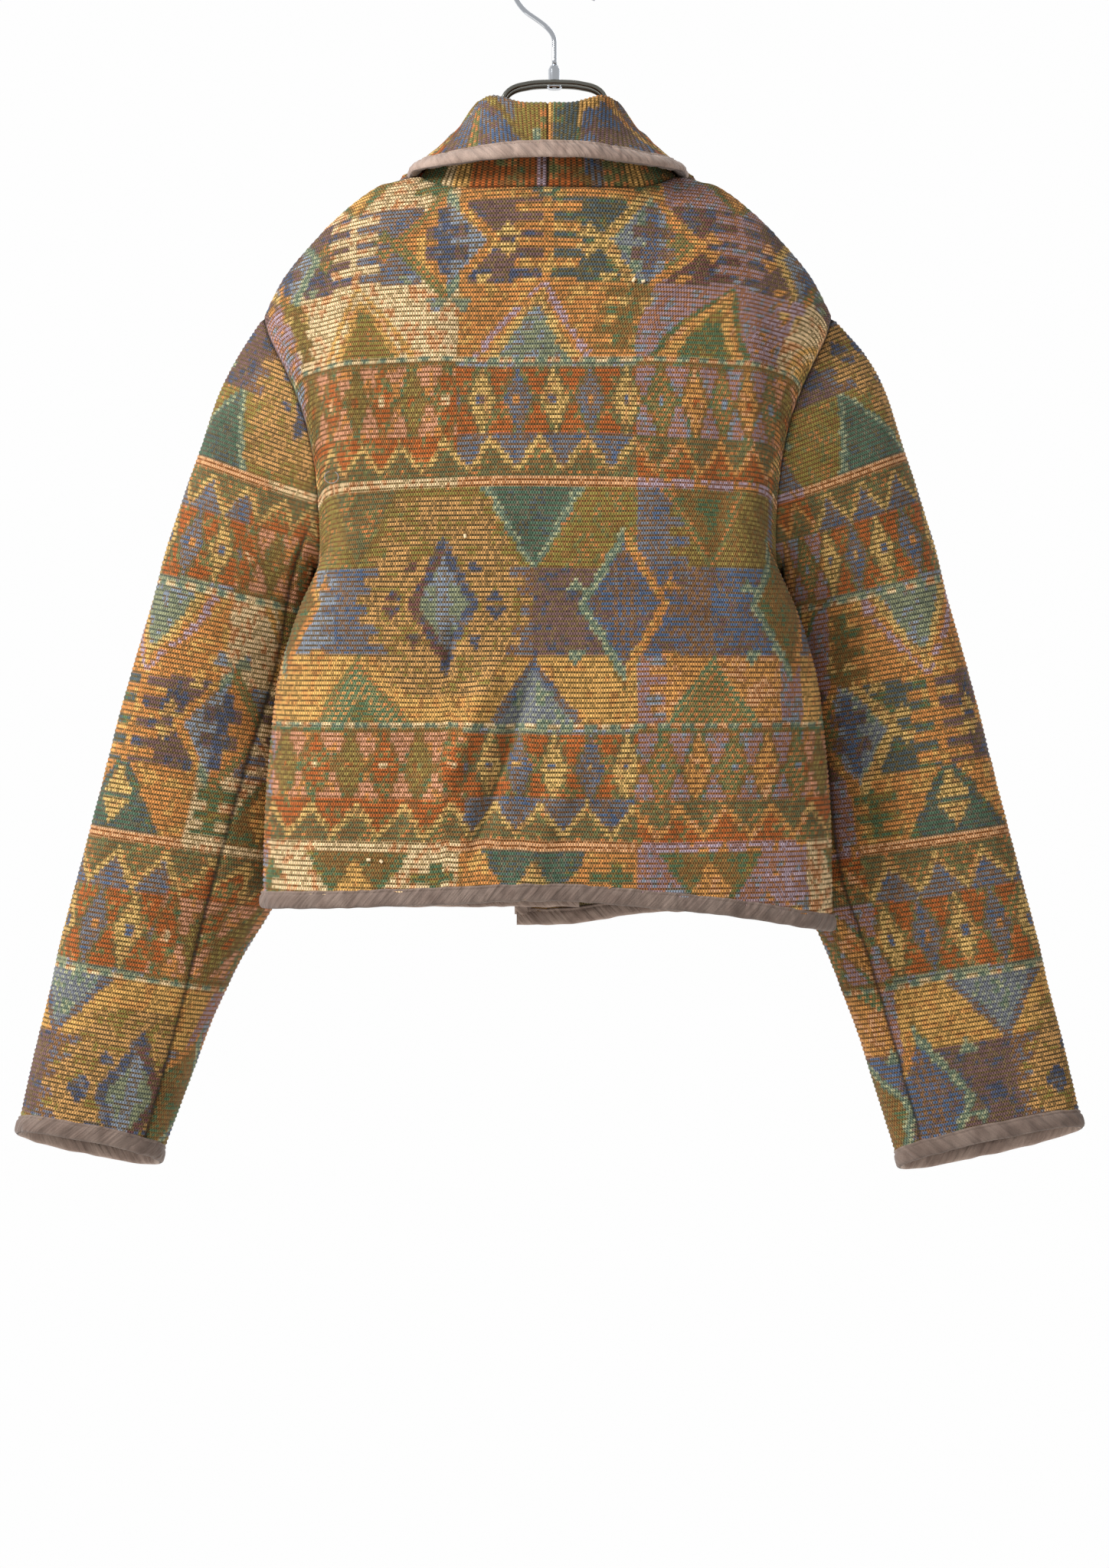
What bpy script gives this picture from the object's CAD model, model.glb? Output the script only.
import math

import bmesh
import bpy
import numpy as np
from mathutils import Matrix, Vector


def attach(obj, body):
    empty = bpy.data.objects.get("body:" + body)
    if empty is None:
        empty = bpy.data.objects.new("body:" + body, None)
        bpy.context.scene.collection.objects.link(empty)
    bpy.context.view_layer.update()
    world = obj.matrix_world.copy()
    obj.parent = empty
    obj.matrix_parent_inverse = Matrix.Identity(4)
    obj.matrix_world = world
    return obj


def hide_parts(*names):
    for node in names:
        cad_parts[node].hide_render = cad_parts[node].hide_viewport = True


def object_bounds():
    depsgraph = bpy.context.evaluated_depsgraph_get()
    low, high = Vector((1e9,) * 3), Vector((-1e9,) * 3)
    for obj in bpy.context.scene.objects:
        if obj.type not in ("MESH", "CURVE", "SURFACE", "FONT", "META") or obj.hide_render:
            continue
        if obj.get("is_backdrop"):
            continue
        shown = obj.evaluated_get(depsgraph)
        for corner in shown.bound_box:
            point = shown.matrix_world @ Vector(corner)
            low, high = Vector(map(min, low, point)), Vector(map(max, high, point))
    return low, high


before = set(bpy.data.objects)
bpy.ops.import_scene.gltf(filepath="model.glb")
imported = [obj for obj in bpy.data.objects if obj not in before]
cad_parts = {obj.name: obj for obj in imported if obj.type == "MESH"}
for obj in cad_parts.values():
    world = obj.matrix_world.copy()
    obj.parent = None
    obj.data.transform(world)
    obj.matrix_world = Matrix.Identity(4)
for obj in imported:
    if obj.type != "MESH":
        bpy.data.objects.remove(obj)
cad_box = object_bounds()

# Lengths below are millimetres in the part's own frame until a mesh is made. The garment's
# front faces -Y, the wearer's left is +X, and "drop" is a distance below the hook.
MM = 0.001
CLOTH = 3.0
BINDING_WIDTH = 11.0
GARMENT_X = 5.0

# Weave: ribs of weft lie across the cloth, and each shows a bead over every warp
RIB = 3.65
BEAD = 2.0
RIB_HEIGHT = 0.75
SEAM_ROLL = 3.2
INSIDE_STEP = 9.0


def table(names, *rows):
    """Columns of numbers by name."""
    return dict(zip(names.split(), np.array(rows, float).T))


NECK_HALF = 94
NECK_BACK_Y = 42
NECK_BACK_DROP = 191
NECK_SIDE_DROP = 178
NECK_FADE = 0.2
SHOULDER_HALF = 211
SHOULDER_DROP = 283
SHOULDER_ROUNDING = 0.45
UNDERARM_DROP = 468
ARMHOLE_HALF_DEPTH = 50
OVERLAP = 24
SHOULDER_LINE = table(
    "half drop",
    (94, 178), (102, 179), (112, 181), (128, 186), (155, 207), (178, 231), (197, 255),
    (211, 283),
)
SIDE_EDGE = table(
    "drop half seam",
    (283, 211, 0), (298, 206, 0), (320, 195, 0), (340, 186, 0), (365, 177, 0), (400, 170, 0),
    (440, 167, 0), (468, 169, 0), (500, 183, 8), (530, 193, 13), (560, 200, 15), (615, 206, 16),
    (660, 209, 16), (740, 210, 16),
)
BACK_HEM = table(
    "across drop", (-1, 736), (-0.75, 727), (-0.46, 719), (0, 712), (0.4, 715), (1, 719)
)
FRONT_HEM = {
    "left": table("across drop", (-0.12, 721), (0.4, 721), (1, 719)),
    "right": table("across drop", (-0.12, 735), (0.05, 735), (0.4, 725), (0.7, 727), (1, 736)),
}
BODY_DEPTH = table(
    "down back front",
    (0, 62, 52), (0.2, 70, 64), (0.4, 76, 76), (0.7, 78, 84), (1, 76, 86), (1.03, 76, 86),
)
FOLDS = "x drop to_x to_drop width height"
BACK_FOLDS = table(
    FOLDS,
    (182, 300, 166, 470, 15, -13),
    (148, 250, 152, 470, 16, 7),
    (-182, 300, -170, 460, 15, -13),
    (-150, 250, -158, 470, 16, 7),
    (8, 540, 58, 690, 8, -8),
    (34, 535, 80, 640, 9, 6),
    (-30, 590, 22, 705, 12, 5),
    (90, 570, 120, 690, 12, -3),
    (-120, 560, -100, 700, 16, -3),
    (68, 508, 72, 552, 5, -4),
    (-128, 380, -120, 520, 10, -2.5),
    (104, 300, 96, 420, 12, -2),
    (-90, 300, -84, 400, 12, -1.5),
)
FRONT_FOLDS = table(
    FOLDS,
    (176, 310, 150, 500, 16, -10),
    (-176, 310, -150, 500, 16, -10),
    (110, 470, 96, 700, 14, -5),
    (-104, 440, -92, 690, 16, -5),
    (70, 480, 62, 700, 15, 4),
    (-62, 500, -54, 700, 14, 3),
    (130, 330, 118, 460, 11, -2.5),
    (-126, 340, -120, 470, 12, -2),
)
SLEEVE = "down out_x out_drop in_x in_drop y lean depth tilt"
SLEEVES = {
    "left": table(
        SLEEVE,
        (0, 211, 283, 169, 468, 0, 0, 46, 0),
        (0.06, 231, 314, 175, 471, -1, 4, 46, 0),
        (0.12, 248, 350, 176, 487, -3, 14, 46, 0),
        (0.2, 264, 400, 180, 514, -6, 25, 45, 0),
        (0.3, 284, 460, 184, 548, -10, 33, 43, 0),
        (0.42, 305, 530, 188, 590, -14, 35, 42, 0.02),
        (0.54, 325, 600, 188, 642, -18, 34, 42, 0.04),
        (0.66, 343, 670, 201, 702, -22, 28, 41, 0.08),
        (0.78, 362, 743, 239, 769, -25, 16, 39, 0.12),
        (0.9, 381, 818, 268, 842, -28, 8, 36, 0.2),
        (1, 395, 880, 290, 901, -30, 4, 34, 0.26),
    ),
    "right": table(
        SLEEVE,
        (0, 211, 283, 169, 468, 0, 0, 46, 0),
        (0.06, 235, 310, 175, 471, -1, 4, 46, 0),
        (0.12, 253, 344, 176, 487, -3, 14, 46, 0),
        (0.2, 268, 394, 180, 514, -6, 25, 44, 0),
        (0.3, 288, 458, 184, 548, -10, 33, 41, 0),
        (0.42, 308, 528, 187, 592, -14, 35, 39, 0.02),
        (0.54, 327, 598, 186, 646, -18, 34, 36, 0.04),
        (0.66, 345, 668, 194, 706, -22, 28, 31, 0.08),
        (0.78, 364, 741, 221, 775, -25, 16, 27, 0.14),
        (0.9, 384, 816, 245, 848, -28, 8, 22, 0.3),
        (1, 398, 875, 263, 905, -30, 4, 18, 0.4),
    ),
}
MIDDLE_DROP = 500
# How full the panels stand: a power and a root, which blend downward from the shoulder's own
BACK_FLATNESS = (3.2, 2.2)
FRONT_FLATNESS = (2.5, 1.5)
SHOULDER_FLATNESS = (6, 3)
SHOULDER_FLAT_UNTIL = 0.35
CHEST_SIDE_Y = 44
CHEST_SIDE_UNTIL = 1.7
CHEST_EDGE_POWER = 14
NECKLINE_CURVE = 0.93
NECKLINE_HEM = 719
# How far the left front lies under the right one, away from the break and at it
UNDERLAP = (7, 13)
OVERLAP_LIFT = 3
BREAK_STARTS, BREAK_ENDS = (0.15, 0.34), (0.42, 0.62)
MIDDLE_FADES = (30, 100)
FREE_EDGE_FLAT = 60
SLEEVE_SQUARENESS = 2.3
CAP_BLEND = 0.22
CUFF_FLARE = 0.24

# How the ribs of a sleeve slope from its outer edge, and where its seam shows on the back
RIB_SLOPE = table(
    "drop slope", (250, 0.5), (390, 0.4), (485, 0.22), (600, 0.16), (700, 0.15), (900, 0.2)
)
LEFT_SEAM = [(418, 165), (468, 187), (545, 204), (605, 222), (700, 249), (800, 275), (900, 303)]
RIGHT_SEAM = [(418, 150), (468, 165), (600, 206), (697, 220), (751, 238), (838, 264), (900, 281)]
SLEEVE_SEAM = {"left": table("drop x", *LEFT_SEAM), "right": table("drop x", *RIGHT_SEAM)}
SLEEVE_CHART = table("level chart", (392, 632), (485, 473), (690, 137), (779, 1), (912, -224))
BEYOND_CHART = 0.6
RIB_PIVOT = 250
# A diamond's middle on the chart, and how far round the sleeve from its outer edge it lies
SLEEVE_DIAMOND = {"left": (580, 96), "right": (814, 114)}
CRUMPLE = 1.6
GROOVE_HALF = 2.2

COLLAR = table(
    "along stand up_x up_y up_z edge_x edge_y drop roll",
    (0, 54, 0, -0.05, 1, 0, 62, 171, 6),
    (0.05, 54.8, -0.05, -0.05, 1, 15, 62, 171, 6),
    (0.13, 63, -0.22, -0.06, 0.97, 38, 60, 172, 6),
    (0.26, 55, -0.59, -0.05, 0.81, 79, 44, 174.5, 6),
    (0.35, 42, -0.66, 0.02, 0.74, 101, 15, 174.5, 6),
    (0.42, 37, -0.65, -0.1, 0.75, 111, -14, 178, 6),
    (0.5, 34, -0.6, -0.25, 0.75, 121, -48, 214, 5),
    (0.64, 24, -0.8, -0.3, 0.55, 122, -50, 262, 4.5),
    (0.78, 14, -0.85, -0.2, 0.5, 104, -55, 316, 4),
    (0.9, 8, -0.85, -0.1, 0.5, 64, -60, 364, 3.5),
    (1, 5, -0.85, 0, 0.5, 6, -60, 406, 3.5),
)
# The lapel's distance from the front, at the shoulder and on the chest
LAPEL_CLEARANCE = (18, 6.4)
NECK_COLUMNS = 5
ARMHOLE_ROWS = 12
COLLAR_COLUMNS = NECK_COLUMNS + ARMHOLE_ROWS

ROD_ARCH = table(
    "x drop", (0, 107.5), (20, 109), (35, 115), (42, 130), (48, 150), (57, 171), (70, 184)
)
ROD_ARCH_END = 70
ROD_START_X = 88
ROD_END_X = 180
ROD_UNDER_CLOTH = 11.2
ROD_HALF_GAP = 8
ROD_END_HALF_GAP = 5.5
ROD_END_ROUNDNESS = 0.6
ROD_RADIUS = 2.0
HOOK_ARC = (-58, 208)
HOOK_RADIUS = 31.9
HOOK_MIDDLE = -30
HOOK_WIRE_RADIUS = 1.9
# The wearer's left is +X
SIDES = {"left": 1, "right": -1}


def mix(a, b, share):
    return a + (b - a) * share


def smoothstep(low, high, value):
    t = np.clip((value - low) / (high - low), 0, 1)
    return t * t * (3 - 2 * t)


def xyz(x, y, z):
    return np.stack([x, y, z], -1)


def runs(*spans):
    """Numbers that run through spans, each told by its ends and its count, joints only once."""
    return np.concatenate([np.linspace(*span)[k > 0 :] for k, span in enumerate(spans)])


def look(source, key, name, at):
    """The smooth curve through a table's rows, where its key column is "at"."""
    keys, values = source[key], source[name]
    near = np.clip(np.arange(len(keys))[:, None] + [-1, 1], 0, len(keys) - 1)
    slopes = (values[near[:, 1]] - values[near[:, 0]]) / (keys[near[:, 1]] - keys[near[:, 0]])
    i = np.searchsorted(keys[1:-1], at)
    span = keys[i + 1] - keys[i]
    t = np.clip((at - keys[i]) / span, 0, 1)
    start = 2 * t**3 - 3 * t**2 + 1
    leave = (t**3 - 2 * t**2 + t) * span * slopes[i]
    arrive = (t**3 - t**2) * span * slopes[i + 1]
    return start * values[i] + (1 - start) * values[i + 1] + leave + arrive


def noise(x, y, seed):
    """Smooth uneven values from -1 to 1, about one bump to a unit."""
    lattice = np.random.default_rng(seed).uniform(-1, 1, (64, 64))
    ix, iy = np.floor(x).astype(int), np.floor(y).astype(int)
    fx, fy = x - ix, y - iy
    sx, sy = fx * fx * (3 - 2 * fx), fy * fy * (3 - 2 * fy)
    corner = lambda a, b: lattice[(ix + a) % 64, (iy + b) % 64]
    top = mix(corner(0, 0), corner(1, 0), sx)
    return mix(top, mix(corner(0, 1), corner(1, 1), sx), sy)


def fold_height(folds, x, drop):
    height = 0
    for fx, fdrop, tx, tdrop, width, lift in zip(*folds.values()):
        length = math.hypot(tx - fx, tdrop - fdrop)
        share = ((x - fx) * (tx - fx) + (drop - fdrop) * (tdrop - fdrop)) / length**2
        away = ((x - fx) * (tdrop - fdrop) - (drop - fdrop) * (tx - fx)) / length
        fade = smoothstep(-0.15, 0.3, share) * (1 - smoothstep(0.7, 1.15, share))
        height = height + lift * fade * np.exp(-((away / width) ** 2))
    return height


# The middle surfaces of the cloth, as the part has them


def underarm_share(hem):
    return (UNDERARM_DROP - SHOULDER_DROP) / (hem - BINDING_WIDTH - SHOULDER_DROP)


def top_drop(x):
    half = np.abs(x)
    neck = mix(NECK_BACK_DROP, NECK_SIDE_DROP, np.minimum(half / NECK_HALF, 1) ** 6)
    return np.where(half < NECK_HALF, neck, look(SHOULDER_LINE, "half", "drop", half))


def side_edge(down, hem, sign):
    low = hem - BINDING_WIDTH
    drop = np.where(down <= 1, mix(SHOULDER_DROP, low, down), low + (down - 1) * BINDING_WIDTH)
    reach = down / underarm_share(hem)
    share = np.minimum(1, reach)
    armhole = ARMHOLE_HALF_DEPTH * np.sin(np.arccos(1 - 2 * share))
    half = look(SIDE_EDGE, "drop", "half", drop)
    seam = look(SIDE_EDGE, "drop", "seam", drop)
    bump = np.maximum(0, np.sin(np.pi * np.minimum(1, reach / CHEST_SIDE_UNTIL) ** 0.8))
    chest = sign * CHEST_SIDE_Y * bump + seam * smoothstep(0.4, 0.8, down)
    return half, np.where(share < 1, sign * armhole, seam), chest


def fullness(share, flatness, down):
    low = smoothstep(0, SHOULDER_FLAT_UNTIL, down)
    power, root = (mix(top, flat, low) for top, flat in zip(SHOULDER_FLATNESS, flatness))
    return np.maximum(0, 1 - np.minimum(1, np.abs(share)) ** power) ** (1 / root)


def stand_off(edge_y, chest, share, depth, flatness, down):
    side = mix(chest, edge_y, np.abs(share) ** CHEST_EDGE_POWER)
    return side + (depth - side) * fullness(share, flatness, down)


def rounding(down):
    return np.sqrt(1 - (1 - np.minimum(1, down / SHOULDER_ROUNDING)) ** 2)


def panel_drop(top, hem, down):
    low = hem - BINDING_WIDTH
    return np.where(down <= 1, mix(top, low, down), hem - (2 - down) * BINDING_WIDTH)


def fold_fade(across, down):
    return (1 - np.abs(across) ** 8) * smoothstep(0, 0.2, down)


def back_side_hem(across):
    return mix(BACK_HEM["drop"][0], BACK_HEM["drop"][-1], smoothstep(-1, 1, across))


def back(across, down):
    across, down = np.broadcast_arrays(across, down)
    half, edge_y, chest = side_edge(down, back_side_hem(across), 1)
    x = across * half
    top_x = across * SHOULDER_HALF
    drop = panel_drop(top_drop(top_x), look(BACK_HEM, "across", "drop", across), down)
    neck = np.maximum(0, 1 - np.abs(top_x / NECK_HALF) ** 2.4) ** 0.75
    depth = look(BODY_DEPTH, "down", "back", np.minimum(down, 1))
    full = stand_off(edge_y, chest, across, depth, BACK_FLATNESS, down)
    folds = fold_height(BACK_FOLDS, x, drop) * fold_fade(across, down)
    neck_y = NECK_BACK_Y * neck * (1 - smoothstep(0, NECK_FADE, down))
    return xyz(x, mix(neck_y, full, rounding(down)) + folds, -drop)


def free_edge(down, hem):
    share = np.minimum(1, down / underarm_share(hem))
    return mix(NECK_HALF, -OVERLAP, share**NECKLINE_CURVE)


def front(side, across, down):
    across, down = np.broadcast_arrays(across, down)
    hems = FRONT_HEM[side]
    side_hem = hems["drop"][-1]
    half, edge_y, chest = side_edge(down, side_hem, -1)
    x = mix(free_edge(down, side_hem), half, across)
    hem = look(hems, "across", "drop", np.minimum(1, x / half))
    drop = panel_drop(top_drop(mix(NECK_HALF, SHOULDER_HALF, across)), hem, down)
    depth = look(BODY_DEPTH, "down", "front", np.minimum(down, 1))
    full = stand_off(edge_y, chest, x / half, -depth, FRONT_FLATNESS, down)
    near_break = smoothstep(*BREAK_STARTS, down) * (1 - smoothstep(*BREAK_ENDS, down))
    near_middle = 1 - smoothstep(*MIDDLE_FADES, x)
    under = mix(*UNDERLAP, near_break) * near_middle * smoothstep(0, BREAK_STARTS[0], down)
    lift = under if side == "left" else -OVERLAP_LIFT * near_break * near_middle
    folds = fold_height(FRONT_FOLDS, SIDES[side] * x, drop) * fold_fade(across, down)
    away = smoothstep(0, FREE_EDGE_FLAT, x + OVERLAP)
    return xyz(SIDES[side] * x, full * rounding(down) + lift - folds * away, -drop)


def sleeve(side, turn, down):
    turn, down = np.broadcast_arrays(turn, down)
    own = sleeve_section(side, turn, down)
    start = armhole(side, turn) - sleeve_section(side, turn, 0 * down)
    return own + start * (1 - smoothstep(0, CAP_BLEND, down))[..., None]


def sleeve_section(side, turn, down):
    at = lambda name: look(SLEEVES[side], "down", name, np.minimum(1, down))
    power = 2 / SLEEVE_SQUARENESS
    cos, sin = np.cos(turn * 2 * np.pi), np.sin(turn * 2 * np.pi)
    c = np.sign(cos) * np.abs(cos) ** power
    s = np.sign(sin) * np.abs(sin) ** power
    lower = np.maximum(0, down - 1) * BINDING_WIDTH
    x = at("in_x") + (at("out_x") - at("in_x")) / 2 * (1 + c) + CUFF_FLARE * lower
    drop = at("in_drop") + (at("out_drop") - at("in_drop")) / 2 * (1 + c) + lower
    y = at("y") - at("lean") * (1 - c) / 2 + at("depth") * s
    return xyz(SIDES[side] * x, y, at("tilt") * at("depth") * s - drop)


def armhole(side, turn):
    hem = FRONT_HEM[side]["drop"][-1]
    down = (1 - np.cos(turn * 2 * np.pi)) / 2 * underarm_share(hem)
    behind = (turn <= 0.5)[..., None]
    return np.where(behind, back(SIDES[side], down), front(side, 1, down))


def off_front(side, points):
    """The y of the front where points of the lapel lie before it."""
    hem = FRONT_HEM[side]["drop"][-1]
    x = SIDES[side] * points[..., 0]
    low, high = np.zeros(x.shape), np.ones(x.shape)
    for _ in range(20):
        down = (low + high) / 2
        inner, half = free_edge(down, hem), side_edge(down, hem, -1)[0]
        here = front(side, np.clip((x - inner) / (half - inner), 0, 1), down)
        above = here[..., 2] > points[..., 2]
        low, high = np.where(above, down, low), np.where(above, high, down)
    return here[..., 1]


def unit(vectors):
    return vectors / np.maximum(np.linalg.norm(vectors, axis=-1, keepdims=True), 1e-9)


def collar(side, across, along):
    """One half. across runs 0 to 1 up the stand, round and down the fall, and to 2 on its strip."""
    across, along = np.broadcast_arrays(across, along)
    at = lambda name: look(COLLAR, "along", name, along)
    sign = SIDES[side]
    hem = FRONT_HEM[side]["drop"][-1]
    column = along * COLLAR_COLUMNS
    neck = np.sin(np.minimum(column / NECK_COLUMNS, 1) * np.pi / 2) * NECK_HALF / SHOULDER_HALF
    row = np.maximum(column - NECK_COLUMNS, 0)
    down = underarm_share(hem) * (1 - np.cos(row / ARMHOLE_ROWS * np.pi)) / 2
    behind = (column <= NECK_COLUMNS)[..., None]
    base = np.where(behind, back(sign * neck, 0), front(side, 0, down))
    up = unit(xyz(sign * at("up_x"), at("up_y"), at("up_z")))
    edge = xyz(sign * at("edge_x"), at("edge_y"), -at("drop"))
    clearance = mix(*LAPEL_CLEARANCE, smoothstep(0.36, 0.58, along))
    lapel = smoothstep(0.34, 0.38, along)

    def lift_off(points):
        limit = np.minimum(points[..., 1], off_front(side, points) - clearance)
        points[..., 1] = mix(points[..., 1], limit, lapel)

    lift_off(edge)
    top = base + up * at("stand")[..., None]
    out = edge - top
    out = unit(out - up * (out * up).sum(-1, keepdims=True))
    roll = at("roll")[..., None]

    def turned(angle):
        return top + out * roll * (1 - np.cos(angle)) + up * roll * np.sin(angle)

    fall_start = turned(np.pi)
    fall = np.linalg.norm(edge - fall_start, axis=-1)
    lengths = at("stand"), at("roll") * np.pi, np.maximum(0.3 * fall, fall - BINDING_WIDTH)
    along_section = np.minimum(across, 1) * sum(lengths)
    stand_share = np.clip(along_section / lengths[0], 0, 1)[..., None]
    angle = np.clip((along_section - lengths[0]) / lengths[1], 0, 1)[..., None] * np.pi
    fallen = np.clip(along_section - lengths[0] - lengths[1], 0, None)
    fallen = (fallen + np.maximum(0, across - 1) * (fall - lengths[2])) / fall
    point = np.where(angle > 0, turned(angle), mix(base, top, stand_share))
    point = np.where((fallen > 0)[..., None], mix(fall_start, edge, fallen[..., None]), point)
    lifted = point.copy()
    lift_off(lifted)
    return mix(point, lifted, smoothstep(0, 0.25, fallen)[..., None])


def normals_of(points, outward, wrapped=False):
    """Normals of a grid of points whose rows run down and whose columns run across."""
    if wrapped:
        around = np.concatenate([points[:, -2:-1], points, points[:, 1:2]], 1)
        across = around[:, 2:] - around[:, :-2]
    else:
        across = np.gradient(points, axis=1)
    return unit(np.cross(np.gradient(points, axis=0), across)) * outward


def arc(points, axis):
    """Distance along a grid's rows or columns from its first point."""
    steps = np.linalg.norm(np.diff(points, axis=axis), axis=-1)
    start = [(1, 0) if k == axis else (0, 0) for k in range(2)]
    return np.pad(np.cumsum(steps, axis=axis), start)


# The pattern. Its chart counts squares of 0.57 mm, and repeats after three zones and two bands.
CHART = 0.57
CHART_MIDDLE = 715.5
CHART_TOP = 78
COURSE = RIB / CHART
STITCH = 5.2
ZONE = 234
REPEAT = 476
BANDS_FROM = 470
ZONES_FROM = 365
PEAK_AT = 697
GEM_AT = 814
# The back stands nearer to the eye than the chart's plane, so its squares look a little larger
EYE = (724, 1024)
NEARNESS = 1.021
# Each yarn: the thick weft and the thin one between its ribs
YARNS = dict(
    rust="b8602c 7c5a34", salmon="d89a78 9c6a44", cream="f2d2a2 a08a5c", peach="e0a878 a0602f",
    gold="e4ae62 90743e", yellow="e2b870 7c6c3a", amber="dd9c55 8a6236", orange="d58d4c 86683c",
    tan="cf9c5e 6b5a38", lilac="9a828a ab6c40", lavender="b4a0ae 9a6a5c", slate="6a7480 85603f",
    steel="8494a4 7a6a50", blue="43668a 7f664c", navy="3c5474 5e5a4c", sky="8ba0b2 6c6c7a",
    plum="6c5458 7a6846", maroon="6a4446 6e6244", teal="3f6a58 6a6a5c", deep="405a62 6a6440",
    green="466e50 8a7440", moss="6e6a40 8e6636", olive="8c803f 94683a", khaki="9a8a48 7c6636",
    sage="8c9474 5c7468", pale="b2b48c 5f8070", brown="806038 5c7050", mist="9aa08c 6c7c8c",
    speckle="d89858 55805c", ember="cf7f48 6f7a4c", dusk="60667a 8a6440",
)
YARN_NAMES = list(YARNS)
# Yarns whose thick and thin ones change places from stitch to stitch
ALTERNATE = "moss khaki pale mist speckle ember dusk".split()


def linear(text):
    value = np.array([int(text[i : i + 2], 16) for i in (0, 2, 4)]) / 255
    return np.where(value <= 0.04045, value / 12.92, ((value + 0.055) / 1.055) ** 2.4)


# Age and dust bring every colour a little nearer to one warm brown
BROWN = linear("85603a")
THICK = np.array([mix(linear(pair[:6]), BROWN, 0.17) for pair in YARNS.values()])
THIN = np.array([mix(linear(pair[7:]), BROWN, 0.25) for pair in YARNS.values()])
ALTERNATES = np.array([name in ALTERNATE for name in YARN_NAMES])
# Stitches here and there take a second yarn, so that no ground is quite plain
STRAYS = dict(
    pair.split(":")
    for pair in """
    slate:blue plum:navy maroon:navy dusk:slate blue:plum navy:slate olive:ember khaki:moss
    moss:green brown:ember gold:amber amber:peach orange:gold tan:olive lilac:steel
    lavender:orange teal:deep green:olive deep:green sage:steel mist:pale rust:ember
    salmon:orange cream:peach yellow:tan
    """.split()
)
STRAY = np.array([YARN_NAMES.index(STRAYS.get(name, name)) for name in YARN_NAMES])


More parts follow.
